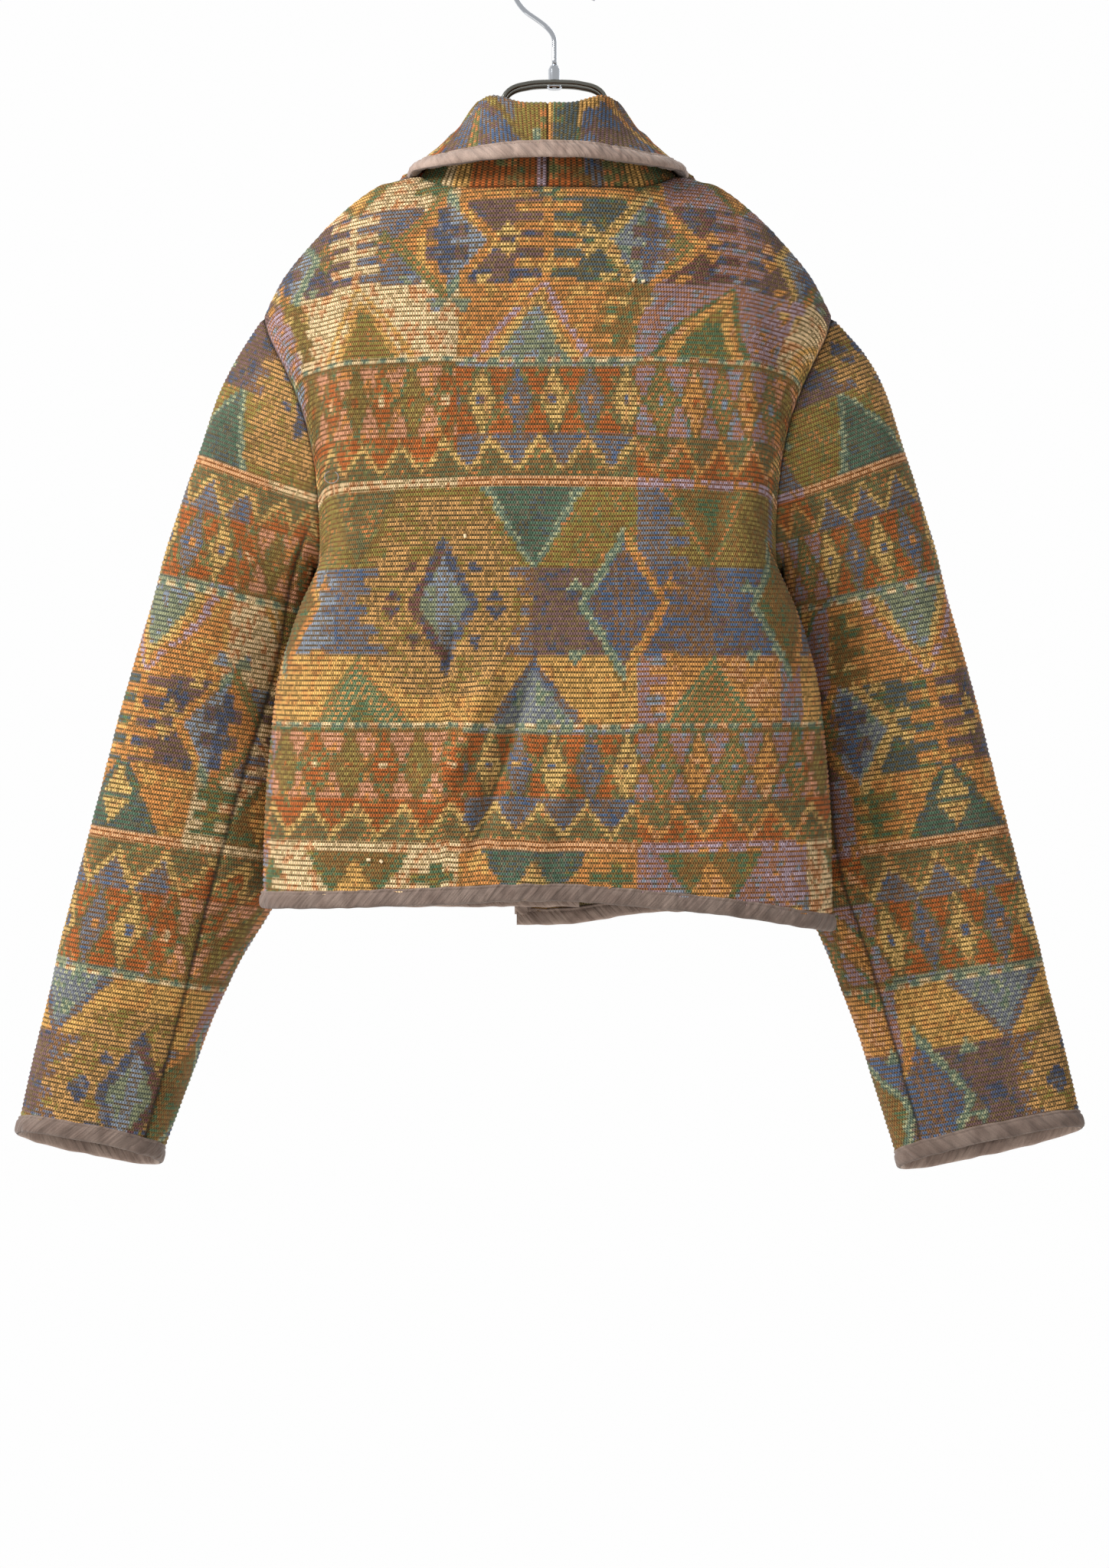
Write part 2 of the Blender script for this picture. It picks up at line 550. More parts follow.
def chart(x, y):
    """The yarn at places on the chart, worked out course by course and stitch by stitch."""
    course = np.floor(y / COURSE)
    x = (np.floor(x / STITCH) + 0.5) * STITCH
    row = ((course + 0.5) * COURSE - BANDS_FROM) % (2 * REPEAT)
    first, t = row < REPEAT, row % REPEAT
    zone = (np.floor((x - ZONES_FROM) / ZONE) % 3).astype(int)
    peak = (x - PEAK_AT + ZONE / 2) % ZONE - ZONE / 2
    gem = (x - GEM_AT + ZONE / 2) % ZONE - ZONE / 2
    tile = np.floor((x - PEAK_AT) / ZONE) % 3
    hooked, ringed = tile == 2, tile == 0
    zone[(x > 330) & (x < ZONES_FROM)] = 0
    pair = (np.floor(t / COURSE / 2) + 0.5) * COURSE * 2
    finger = np.floor(course / 2) % 2
    yarn = np.zeros(x.shape, int)

    def put(where, names):
        """Lays one yarn, or the first, second and third zone's own."""
        numbers = np.array([YARN_NAMES.index(name) for name in names.split()])
        yarn[where] = numbers[zone % len(numbers)][where]

    def band(low, high):
        return (t >= low) & (t < high)

    def triangle(centre, middle, apex, base, half):
        """A triangle by its apex and base rows, as a share of its half width."""
        inside = (t - apex) / (base - apex)
        return (np.abs(centre - middle) < half * inside) & (inside > 0) & (inside < 1)

    def peaks(where, *rows):
        for apex, base, half, names in rows:
            put(where & triangle(peak, 0, apex, base, half), names)

    def halves(where, low, high):
        put(where & (gem < 0), low)
        put(where & (gem >= 0), high)

    # Courses that both bands share: a dashed line, lozenges, a zigzag and a double stripe
    put(band(0, 7) & (np.floor(x / 15.6) % 2 == 0), "cream cream peach")
    put(band(0, 7) & (np.floor(x / 15.6) % 2 == 1), "pale")
    put(band(7, 12), "moss sage moss")
    put(band(12, 100), "salmon rust lilac")
    count = np.floor((x - 607.5) / 47)
    middle = (x - 607.5) % 47 - 23.5
    away = np.abs(middle) / 20 + np.abs(pair - 56) / 46
    even = count % 2 == 0
    field = band(12, 100)
    put(field & (away < 1.22), "moss brown moss")
    put(field & (away < 0.95) & even, "khaki yellow amber")
    put(field & (away < 0.95) & ~even, "rust slate ember")
    core = field & (np.abs(middle) < 5) & (np.abs(t - 56) < 5)
    put(core & even, "rust blue rust")
    put(core & ~even, "cream orange sky")
    line = 107 + np.abs((x - 643 + 31) % 62 - 31) / 31 * 42
    put(band(100, 154) & (t < line), "rust slate brown")
    put(band(100, 154) & (t > line), "brown brown rust")
    put(band(100, 154) & (np.abs(t - line) < 6.5), "yellow yellow amber")
    put(band(154, 157), "brown brown rust")
    put(band(157, 170), "cream peach lavender")

    # First band: hanging triangles, great lozenges and standing triangles on gold
    upper, centre, lower = first & band(170, 274), first & band(274, 391), first & band(391, 477)
    put(upper, "olive olive khaki")
    put(upper & (zone == 2) & (gem > 0) & (gem < 60 + 24 * finger), "slate")
    put(centre, "slate dusk blue")
    put(centre & (zone == 1) & (peak > 0), "plum")
    put(centre & (x > 340) & (x < 412 + 22 * finger), "steel")
    put(centre & (zone == 2) & (gem > 60 + 26 * finger), "dusk")
    put(lower, "gold gold amber")
    put(lower & (zone == 2) & (gem > -20) & (gem < 34 + 22 * finger), "lilac")
    peaks(upper, (282, 170, 68, "khaki pale ember"), (270, 160, 60, "brown teal moss"))
    peaks(upper & (zone == 2), (240, 180, 22, "green"))
    peaks(lower, (388, 480, 68, "ember slate speckle"), (402, 480, 54, "speckle mist ember"))
    peaks(lower & (zone == 0), (440, 500, 30, "green"))
    tall = first & band(180, 440)
    reach = 46 + 58 * (1 - np.abs(t - 322) / 140) + 16 * finger
    put(tall & hooked & (np.abs(gem) < reach), "tan tan gold")
    away = np.abs(gem) / 44 + np.abs(t - 322) / 84
    ring = tall & (away > 0.72) & (away < 1.06)
    halves(ring & hooked, "maroon", "navy")
    put(tall & hooked & (away <= 0.72), "sage")
    put(tall & hooked & (away <= 0.72) & (np.abs(gem) < 10 - 4 * finger), "steel")
    ground = tall & ringed & (away < 1.3)
    put(ground & ~band(274, 391) & (gem < 0), "khaki")
    for side in (-1, 1):
        yarn_name = "maroon" if side < 0 else "navy"
        for apex, base in ((300, 320), (344, 324)):
            put(tall & hooked & triangle(gem, side * 66, apex, base, 15), yarn_name)
        for apex, base in ((262, 282), (382, 362)):
            put(tall & hooked & triangle(gem, side * 40, apex, base, 11), yarn_name)
            small = tall & ~hooked & triangle(gem, side * 62, apex + 20, base + 20, 12)
            put(small, "pale" if side < 0 else "orange")
    for apex, base in ((232, 252), (414, 394)):
        put(tall & triangle(gem, 0, apex, base, 12), "navy slate sage")
    away = np.abs(gem) / 56 + np.abs(t - 322) / 92
    halves(tall & ~hooked & (away < 1.1), "pale", "orange")
    put(tall & ringed & (away < 0.86), "blue")
    every_other = np.floor(x / STITCH) % 2 == 0
    put(tall & ringed & (away < 0.8) & (np.abs(gem) < 16) & every_other, "dusk")
    put(tall & ~hooked & ~ringed & (away < 0.86), "moss")

    # Second band: the same order with combs, crossed lozenges and ringed triangles
    upper, centre, lower = ~first & band(170, 256), ~first & band(256, 373), ~first & band(373, 477)
    put(~first & band(170, 477), "cream orange lilac")
    peaks(upper, (268, 170, 70, "green deep green"), (262, 168, 58, "moss teal moss"))
    peaks(upper, (178, 214, 24, "gold yellow amber"), (250, 216, 26, "gold yellow amber"))
    comb = (np.abs(gem + 12) < 9) | ((finger == 1) & (np.abs(gem + 16) < 28))
    put(upper & comb & band(182, 246), "green green lavender")
    comb = (np.abs(gem) > 30) & (np.abs(gem) < 80 + 30 * finger)
    halves(centre & comb, "slate deep plum", "plum plum maroon")
    for side in (-1, 1):
        for apex, base in ((286, 308), (340, 318)):
            put(centre & triangle(gem, side * 72, apex, base, 17), "ember yellow amber")
        put(centre & triangle(gem, side * 46, 376, 356, 13), "sage yellow amber")
    diamond = ~first & band(236, 396)
    away = np.abs(gem) / 62 + np.abs(t - 313) / 78
    halves(diamond & (away < 1.06), "ember yellow yellow", "pale orange orange")
    halves(diamond & (away < 0.8), "orange mist steel", "steel steel ember")
    bars = (np.abs(gem) < 9) & (np.abs(t - 313) < 48)
    bars |= (np.abs(np.abs(t - 313) - 16) < 8) & (np.abs(gem) < 26)
    put(diamond & (away < 0.84) & bars, "navy blue blue")
    put(diamond & (away < 0.84) & bars & (np.abs(gem) > 12), "plum plum dusk")
    peaks(lower, (368, 480, 88, "gold lavender green"), (376, 480, 76, "cream orange amber"))
    peaks(lower, (384, 480, 66, "gold yellow gold"), (396, 480, 50, "olive sage green"))
    comb = (np.abs(gem + 4) < 10) | ((finger == 1) & (np.abs(gem + 10) < 27))
    put(lower & comb & band(373, 462) & ~hooked, "khaki moss lavender")
    for middle in (-12, 22):
        put(lower & hooked & triangle(gem, middle, 412, 390, 15), "sage")
    for middle in (-12, 16):
        put(lower & ~hooked & triangle(gem, middle, 408, 388, 13), "yellow")
    return yarn


def collar_chart(x, y):
    """The collar's yarns by mm up the stand and down the fall, and by mm from its centre seam.

    The ribs run up the stand. The wearer's left half has y above 0, the right half below.
    """
    course = (np.floor(y / RIB) + 0.5) * RIB
    out, fallen = np.abs(course), np.floor(x / 4) * 4 - 66
    left, stand = y > 0, x < 58
    finger = np.floor(out / RIB / 2) % 2
    yarn = np.full(x.shape, YARN_NAMES.index("olive"))

    def put(where, name):
        yarn[where] = YARN_NAMES.index(name)

    put(left & (out > 28), "slate")
    put(left & (out > 28) & (fallen > 22 + 8 * finger), "blue")
    slant = out - 62 + 1.25 * fallen
    put(left & (np.abs(slant) < 7), "khaki")
    put(left & (np.abs(slant - 11) < 4), "blue")
    put(left & (out > 62) & (out < 71) & (fallen > 10), "ember")
    put(left & (out > 84) & (fallen > 14), "plum")
    put(left & (out > 8) & (out < 14) & (fallen > 18), "pale")
    put(~left, "deep")
    put(~left & (out < 4), "orange")
    put(~left & (out > 26) & (fallen < 30 - 6 * finger), "gold")
    put(~left & (out > 31) & (fallen > 10 + 5 * finger), "blue")
    put(~left & (out > 31) & (np.abs(out - 38 - 1.5 * fallen) < 7), "orange")
    put(~left & (out > 46) & (out - 48 > 1.5 * fallen), "dusk")
    put(stand, "rust")
    put(stand & (out > 22) & (out < 33) & ~left, "slate")
    put(stand & (out > 33) & ~left, "ember")
    put(stand & (out > 46) & (out < 60), "gold")
    put(stand & (out > 60) & left & (out < 66), "cream")
    put(stand & (out > 66), "green")
    put(stand & (out > 72) & (np.floor((out + x) / 9) % 2 == 0) & ~left, "orange")
    put(stand & (out < 6) & left, "lavender")
    put(stand & (out > 14) & (out < 26) & (np.floor((x + out) / 8) % 3 == 0), "moss")
    further = out > 84 + 8 * finger
    yarn[further] = chart(560 + x / CHART, 330 + out / CHART)[further]
    return yarn


def yarn_colours(x, y, seed, pattern):
    """Thick and thin colours of the cloth at chart places, a little uneven as yarn is."""
    yarn = pattern(x, y)
    column, course = np.floor(x / STITCH), np.floor(y / COURSE)
    stray = noise(column / 2.3, course / 1.6, seed + 7) + 0.55 * noise(column, course, seed + 8)
    yarn = np.where(stray > 0.42, STRAY[yarn], yarn)
    thick, thin = THICK[yarn], THIN[yarn]
    swap = ALTERNATES[yarn] & (np.floor(x / STITCH + course) % 2 == 1)
    thick = np.where(swap[..., None], thin, thick)
    uneven = 1 + 0.12 * noise(x / 40, y / 30, seed) + 0.1 * noise(x / 9, y / COURSE, seed + 1)
    return thick * uneven[..., None], thin * uneven[..., None]


# Meshes


def faces_between(index):
    """Quads, and triangles where a side has shrunk to a point, of a grid of vertex numbers."""
    a, b, c, d = index[:-1, :-1], index[1:, :-1], index[1:, 1:], index[:-1, 1:]
    left, right = a != b, c != d
    quads = np.stack([a, b, c, d], -1)[left & right]
    starts = np.stack([a, b, c], -1)[left & ~right]
    ends = np.stack([a, c, d], -1)[~left & right]
    return [*quads.tolist(), *starts.tolist(), *ends.tolist()]


def bridge(a, at_a, b, at_b):
    """Triangles between two lines of vertices that run side by side."""
    faces = []
    i = j = 0
    while i < len(a) - 1 or j < len(b) - 1:
        if j == len(b) - 1 or (i < len(a) - 1 and at_a[i + 1] <= at_b[j + 1]):
            faces.append((a[i], a[i + 1], b[j]))
            i += 1
        else:
            faces.append((a[i], b[j + 1], b[j]))
            j += 1
    return faces


def make_mesh(name, points, faces, material, attributes=()):
    """A smooth mesh object of points in millimetres, with colours or vectors at its points."""
    mesh = bpy.data.meshes.new(name)
    mesh.from_pydata(np.asarray(points) * MM, [], faces)
    for attribute, kind, values in attributes:
        layer = mesh.attributes.new(attribute, kind, "POINT")
        field = "color" if kind == "FLOAT_COLOR" else "vector"
        layer.data.foreach_set(field, np.asarray(values, np.float32).ravel())
    work = bmesh.new()
    work.from_mesh(mesh)
    loose = [v for v in work.verts if not v.link_faces]
    bmesh.ops.delete(work, geom=loose, context="VERTS")
    bmesh.ops.recalc_face_normals(work, faces=work.faces)
    work.to_mesh(mesh)
    work.free()
    mesh.shade_smooth()
    mesh.materials.append(material)
    piece = bpy.data.objects.new(name, mesh)
    bpy.context.collection.objects.link(piece)
    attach(piece, "root")
    return piece


def with_alpha(colours):
    return np.concatenate([colours, np.ones((*colours.shape[:-1], 1))], -1)


def weave(
    name, points, normals, level, x, y, dip, seed, wrapped=False, pattern=None, two_faced=False
):
    """Cloth with ribs along lines of equal level, and a plainer inside unless it is two faced.

    The grid's columns cross the ribs. x and y are its chart places, and dip is 1 where the
    cloth has its full thickness and near 0 where an edge is turned into a seam.
    """
    count = points.shape[1]
    first = math.floor(level[0].min() / RIB * 2) - 1
    last = math.ceil(level[-1].max() / RIB * 2) + 1
    levels = np.arange(first, last + 1) * RIB / 2
    held = np.clip(levels[:, None], level[0], level[-1])
    fields = np.concatenate([points, normals, xyz(x, y, dip)], -1)
    laid = np.empty((len(levels), count, fields.shape[-1]))
    for j in range(count):
        for k in range(fields.shape[-1]):
            laid[:, j, k] = np.interp(held[:, j], level[:, j], fields[:, j, k])
    place, normal = laid[..., :3], unit(laid[..., 3:6])
    lx, ly, thickness = laid[..., 6], laid[..., 7], laid[..., 8]
    rib = np.sin(np.pi * held / RIB) ** 2
    uneven = 1 + 0.35 * noise(lx / 9, held / RIB, seed + 5)
    height = CLOTH / 2 * thickness + RIB_HEIGHT * (rib * uneven - 0.6) * thickness
    face = place + normal * height[..., None]
    first_row = np.array([np.searchsorted(levels, top, "right") - 1 for top in level[0]])
    last_row = np.array([np.searchsorted(levels, low, "left") for low in level[-1]])
    rows = np.clip(np.arange(len(levels))[:, None], first_row, last_row)
    index = rows * count + np.arange(count)
    thick, thin = yarn_colours(lx, ly, seed, pattern or chart)
    worn = mix(0.45, 1, smoothstep(0.15, 0.9, thickness))[..., None]
    thick, thin = thick * worn, thin * worn
    scale = CHART if pattern is None else 1
    weft = xyz(lx * scale / BEAD, held / RIB, 0 * lx)
    dull = lambda colours: 0.45 * colours + 0.25 * linear("6b5038")

    down = inside_picks(arc(points, 0).max(1))
    over = inside_picks(arc(points, 1).max(0))
    pick = np.ix_(down, over)
    inner = points[pick] - normals[pick] * (CLOTH / 2 * dip[pick])[..., None]
    inner_index = len(levels) * count + np.arange(inner[..., 0].size).reshape(inner.shape[:2])
    inner_thick, inner_thin = (dull(c) for c in yarn_colours(x[pick], y[pick], seed, chart))
    inner_weft = xyz(x[pick] * CHART / BEAD, level[pick] / RIB, 0 * x[pick])
    outer_at, inner_at = np.arange(count), over
    down_at = lambda j, held_rows: (inner_index[:, j], level[down, j])
    if two_faced:
        inner = place - normal * height[..., None]
        inner_index = index + index.size
        inner_thick, inner_thin, inner_weft = thick, thin, weft
        inner_at = outer_at
        down_at = lambda j, held_rows: (inner_index[held_rows, j], held[held_rows, j])
    if wrapped:
        index[:, -1], inner_index[:, -1] = index[:, 0], inner_index[:, 0]
    faces = faces_between(index) + faces_between(inner_index)
    edges = []
    for row, inner_row in ((first_row, 0), (last_row, -1)):
        under = inner_index[row, outer_at] if two_faced else inner_index[inner_row]
        edges.append((index[row, outer_at], outer_at, under, inner_at))
    if not wrapped:
        for j in (0, -1):
            held_rows = np.arange(first_row[j], last_row[j] + 1)
            edges.append((index[held_rows, j], held[held_rows, j], *down_at(j, held_rows)))
    for edge in edges:
        faces += bridge(*edge)

    flat = lambda a, b: np.concatenate([a.reshape(-1, a.shape[-1]), b.reshape(-1, b.shape[-1])])
    attributes = [
        ("thick", "FLOAT_COLOR", flat(with_alpha(thick), with_alpha(inner_thick))),
        ("thin", "FLOAT_COLOR", flat(with_alpha(thin), with_alpha(inner_thin))),
        ("weft", "FLOAT_VECTOR", flat(weft, inner_weft)),
    ]
    return make_mesh(name, flat(face, inner) + [GARMENT_X, 0, 0], faces, cloth, attributes)


def inside_picks(along):
    """Numbers of the rows or columns that the plain inside keeps, with the first and last."""
    wanted = np.linspace(0, along[-1], max(2, round(along[-1] / INSIDE_STEP)))
    return np.unique(np.searchsorted(along, wanted).clip(0, len(along) - 1))


def seam_dip(distance):
    """The cloth's thickness near a seam: its edge is turned in on a small round."""
    share = np.clip(distance / SEAM_ROLL, 0, 1)
    return np.maximum(0.12, np.sqrt(1 - (1 - share) ** 2))


# Materials


def set_inputs(node, **values):
    for name, value in values.items():
        node.inputs[name.replace("_", " ")].default_value = value


def nodes_of(name):
    material = bpy.data.materials.new(name)
    material.use_nodes = True
    tree = material.node_tree
    shader = tree.nodes["Principled BSDF"]

    def add(kind, settings=(), **inputs):
        made = tree.nodes.new(kind)
        for key, value in dict(settings).items():
            setattr(made, key, value)
        for key, value in inputs.items():
            socket = made.inputs[int(key[1:]) if key[1:].isdigit() else key.replace("_", " ")]
            if isinstance(value, bpy.types.NodeSocket):
                tree.links.new(value, socket)
            else:
                socket.default_value = value
        return made.outputs[0]

    def maths(operation, a, b=0.0):
        return add("ShaderNodeMath", {"operation": operation}, i0=a, i1=b)

    def ramp(value, low, high, to_low=0.0, to_high=1.0):
        return add("ShaderNodeMapRange", i0=value, i1=low, i2=high, i3=to_low, i4=to_high)

    def chain(operation, first, *others):
        for other in others:
            first = maths(operation, first, other)
        return first

    return material, tree, shader, add, maths, ramp, chain


def mixed(tree, factor, a, b, blend="MIX"):
    node = tree.nodes.new("ShaderNodeMix")
    node.data_type = "RGBA"
    node.blend_type = blend
    for value, socket in ((factor, node.inputs[0]), (a, node.inputs[6]), (b, node.inputs[7])):
        if isinstance(value, bpy.types.NodeSocket):
            tree.links.new(value, socket)
        else:
            socket.default_value = value
    return node.outputs[2]


def attribute(tree, name, output):
    node = tree.nodes.new("ShaderNodeAttribute")
    node.attribute_name = name
    return node.outputs[output]


def dress(tree, shader, add, colour, shade, height, strength, distance):
    """Shades the colour and gives the surface its relief."""
    grey = add("ShaderNodeCombineXYZ", i0=shade, i1=shade, i2=shade)
    tree.links.new(mixed(tree, 1.0, colour, grey, "MULTIPLY"), shader.inputs["Base Color"])
    bump = tree.nodes.new("ShaderNodeBump")
    set_inputs(bump, Strength=strength, Distance=distance)
    tree.links.new(height, bump.inputs["Height"])
    tree.links.new(bump.outputs[0], shader.inputs["Normal"])


def cloth_material():
    """Beads of yarn along the ribs, some of them swapped, with fibres and dark gaps."""
    material, tree, shader, add, maths, ramp, chain = nodes_of("tapestry_weave")
    flat = {"noise_dimensions": "2D"}
    weft = attribute(tree, "weft", "Vector")
    split = tree.nodes.new("ShaderNodeSeparateXYZ")
    tree.links.new(weft, split.inputs[0])
    beads, ribs = split.outputs[0], split.outputs[1]
    across = maths("ABSOLUTE", maths("SUBTRACT", maths("FRACT", ribs), 0.5))
    between = ramp(across, 0.25, 0.36)
    row = maths("FLOOR", maths("MULTIPLY", maths("ADD", ribs, 0.25), 2.0))
    place = maths("ADD", beads, maths("MULTIPLY", row, 0.5))
    bead = maths("ABSOLUTE", maths("SUBTRACT", maths("FRACT", place), 0.5))
    crossing = ramp(bead, 0.18, 0.46)
    cell = add("ShaderNodeCombineXYZ", i0=maths("FLOOR", place), i1=row)
    chance = add("ShaderNodeTexWhiteNoise", flat, Vector=cell)
    fleck = maths("MULTIPLY", maths("GREATER_THAN", chance, 0.82), 0.75)
    swapped = maths("ABSOLUTE", maths("SUBTRACT", between, fleck))
    fibres = add("ShaderNodeTexNoise", flat, Vector=weft, Scale=2.2, Detail=3.0)
    thick, thin = (attribute(tree, name, "Color") for name in ("thick", "thin"))
    colour = mixed(tree, swapped, thick, thin)
    other_chance = maths("FRACT", maths("MULTIPLY", chance, 7.3))
    shade = chain(
        "MULTIPLY",
        ramp(fibres, 0.3, 0.7, 0.8, 1.2),
        ramp(crossing, 0.0, 1.0, 1.2, 0.42),
        ramp(across, 0.22, 0.5, 1.0, 0.6),
        ramp(other_chance, 0.0, 1.0, 0.84, 1.16),
    )
    parts = ((crossing, -0.7), (across, -0.9), (fibres, 0.5))
    height = chain("ADD", *(maths("MULTIPLY", part, amount) for part, amount in parts))
    dress(tree, shader, add, colour, shade, height, 0.8, 0.0008)
    set_inputs(shader, Roughness=0.95, Specular_IOR_Level=0.15)
    set_inputs(shader, Sheen_Weight=0.08, Sheen_Roughness=0.45)
    return material


def binding_material():
    """Taupe cotton cut on the bias, with a line of stitches; along and across come in mm."""
    material, tree, shader, add, maths, ramp, chain = nodes_of("binding_cotton")
    flat = {"noise_dimensions": "2D"}
    strip = attribute(tree, "strip", "Vector")
    split = tree.nodes.new("ShaderNodeSeparateXYZ")
    tree.links.new(strip, split.inputs[0])
    along, across = split.outputs[0], split.outputs[1]
    twill = maths("SINE", maths("MULTIPLY", maths("ADD", along, across), 9.0))
    worn = add("ShaderNodeTexNoise", flat, Vector=strip, Scale=0.05, Detail=2.0)
    fine = add("ShaderNodeTexNoise", flat, Vector=strip, Scale=1.4, Detail=2.0)
    lie = add(
        "ShaderNodeCombineXYZ",
        i0=maths("ADD", maths("MULTIPLY", along, 0.24), maths("MULTIPLY", across, 0.17)),
        i1=maths("MULTIPLY", across, 0.03),
    )
    pleat = add("ShaderNodeTexNoise", flat, Vector=lie, Scale=1.0, Detail=2.0)
    near = ramp(maths("ABSOLUTE", maths("SUBTRACT", across, 2.0)), 0.25, 0.5, 1.0, 0.0)
    dash = maths("SUBTRACT", maths("FRACT", maths("MULTIPLY", along, 0.4)), 0.5)
    dash = ramp(maths("ABSOLUTE", dash), 0.36, 0.42, 1.0, 0.0)
    stitch = maths("MULTIPLY", near, dash)
    dark, light = ((*linear(text), 1) for text in ("957f73", "a99386"))
    colour = mixed(tree, ramp(worn, 0.35, 0.65), dark, light)
    shade = chain(
        "MULTIPLY",
        ramp(twill, -1.0, 1.0, 0.93, 1.04),
        ramp(fine, 0.3, 0.7, 0.88, 1.1),
        ramp(near, 0.0, 1.0, 1.0, 0.7),
    )
    shade = maths("ADD", shade, maths("MULTIPLY", stitch, 0.3))
    inside_shade = ramp(across, 20.0, 44.0, 1.0, 0.55)
    shade = chain("MULTIPLY", shade, inside_shade, ramp(pleat, 0.34, 0.6, 0.86, 1.08))
    parts = ((twill, 0.12), (fine, 0.4), (stitch, 0.6), (pleat, 7.0))
    height = chain("ADD", *(maths("MULTIPLY", part, amount) for part, amount in parts))
    dress(tree, shader, add, colour, shade, height, 0.7, 0.0004)
    set_inputs(shader, Roughness=0.9, Specular_IOR_Level=0.2, Sheen_Weight=0.2)
    return material


def plain_material(name, colour, roughness, metallic=0.0):
    material, _, shader, *_ = nodes_of(name)
    set_inputs(shader, Base_Color=(*linear(colour), 1), Roughness=roughness, Metallic=metallic)
    return material


cloth = cloth_material()
taupe = binding_material()
chrome = plain_material("chrome_steel", "c8ccd2", 0.12, 1.0)
dark_steel = plain_material("dark_steel", "77766f", 0.18, 1.0)
knot = plain_material("cream_knot", "e8cfa6", 0.9)
grey_thread = plain_material("grey_thread", "8e8a86", 0.9)
orange_thread = plain_material("orange_thread", "c98a50", 0.9)


# The cut pieces


def wander(x, y, seed):
    """The small drift of ribs and columns in hanging cloth, in chart squares."""
    return 2.2 * noise(x / 90, y / 70, seed), 2.0 * noise(x / 110, y / 60, seed + 1)


def spread(x, y):
    """The cloth is eased a little wider between the shoulders."""
    wide = 1 + 0.175 * (1 - smoothstep(320, 450, y))
    return 580 + (x - 579) / wide


def levels_down(points):
    """Distance down each column of a panel, counted so that it is the drop at mid height."""
    along, drop = arc(points, 0), -points[..., 2]
    columns = range(points.shape[1])
    middle = np.array([np.interp(MIDDLE_DROP, drop[:, j], along[:, j]) for j in columns])
    return along - middle + MIDDLE_DROP


def make_back():
    across = np.linspace(-1, 1, 266)
    down = runs((0, 0.3, 90), (0.3, 2, 230))
    down = np.concatenate([down[down < 1], [1.0], np.linspace(1, 2, 6)[1:]])
    points = back(across[None, :], down[:, None])
    normals = normals_of(points, -1)
    level = levels_down(points)
    side = arc(points, 1)
    middle = np.array([np.interp(0, points[i, :, 0], side[i]) for i in range(len(down))])
    x = EYE[0] + (CHART_MIDDLE - (side - middle[:, None]) / CHART - EYE[0]) * NEARNESS
    y = EYE[1] + (level / CHART - CHART_TOP - EYE[1]) * NEARNESS
    dip = seam_dip(np.minimum(np.minimum(side, side[:, -1:] - side), arc(points, 0)))
    drift_x, drift_y = wander(x, y, 3)
    level, x, y = level + drift_y * CHART, spread(x, y) + drift_x, y + drift_y
    return weave("back_cloth", points, normals, level, x, y, dip, 11)


def make_front(side):
    across = np.linspace(0, 1, 138)
    down = runs((0, 0.3, 90), (0.3, 1, 120), (1, 2, 6))
    points = front(side, across[None, :], down[:, None])
    normals = normals_of(points, SIDES[side])
    level = levels_down(points)
    out = arc(points, 1)
    inner = free_edge(down, NECKLINE_HEM)[:, None]
    x = CHART_MIDDLE + SIDES[side] * (inner + out) / CHART + 30
    y = level / CHART - CHART_TOP
    turned = np.minimum(out[:, -1:] - out, arc(points, 0))
    neckline = (down < underarm_share(NECKLINE_HEM))[:, None]
    dip = seam_dip(np.where(neckline, np.minimum(turned, out), turned))
    drift_x, drift_y = wander(x, y, 7)
    seed = 21 if side == "left" else 31
    level, x, y = level + drift_y * CHART, x + drift_x, y + drift_y
    return weave(f"front_{side}_cloth", points, normals, level, x, y, dip, seed)


def make_sleeve(side):
    turn = np.linspace(0, 1, 232)
    down = runs((0, 0.25, 80), (0.25, 1, 170), (1, 2, 6))
    points = sleeve(side, turn[None, :], down[:, None])
    crumple = CRUMPLE * noise(turn[None, :] * 9, down[:, None] * 14, 41)
    crumple = crumple * smoothstep(0.03, 0.2, down)[:, None]
    crumple = crumple * (1 - smoothstep(0.8, 1, down))[:, None]
    crumple[:, -1] = crumple[:, 0]
    normals = normals_of(points, SIDES[side], wrapped=True)
    points = points + normals * crumple[..., None]
    out, drop = SIDES[side] * points[..., 0], -points[..., 2]
    level = drop + look(RIB_SLOPE, "drop", "slope", drop) * (out - RIB_PIVOT)
    level = np.maximum.accumulate(level + np.arange(len(down))[:, None] * 1e-4, 0)
    around = arc(points, 1)
    whole = around[:, -1:]
    seam_x = look(SLEEVE_SEAM[side], "drop", "x", drop)
    behind = (turn > 0) & (turn < 0.5)
    past = (turn >= 0.5)[None, :] | (behind[None, :] & (out < seam_x))
    reach = np.where(past, around - whole, around)
    diamond_x, diamond_reach = SLEEVE_DIAMOND[side]
    x = diamond_x - SIDES[side] * (reach - diamond_reach) / CHART
    y = np.interp(level, SLEEVE_CHART["level"], SLEEVE_CHART["chart"])
    first, last = SLEEVE_CHART["level"][[0, -1]]
    y = y + (level > last) * (last - level) / BEYOND_CHART
    y = y + (level < first) * (first - level) / BEYOND_CHART
    groove = np.where(behind[None, :], np.exp(-(((out - seam_x) / GROOVE_HALF) ** 2)), 0)
    groove = groove * smoothstep(0.02, 0.1, down)[:, None]
    dip = seam_dip(arc(points, 0)) * (1 - 0.75 * groove)
    drift_x, drift_y = wander(x, y, 9)
    seed = 51 if side == "left" else 61
    x, y = x + drift_x, y + drift_y
    return weave(f"sleeve_{side}_cloth", points, normals, level, x, y, dip, seed, wrapped=True)


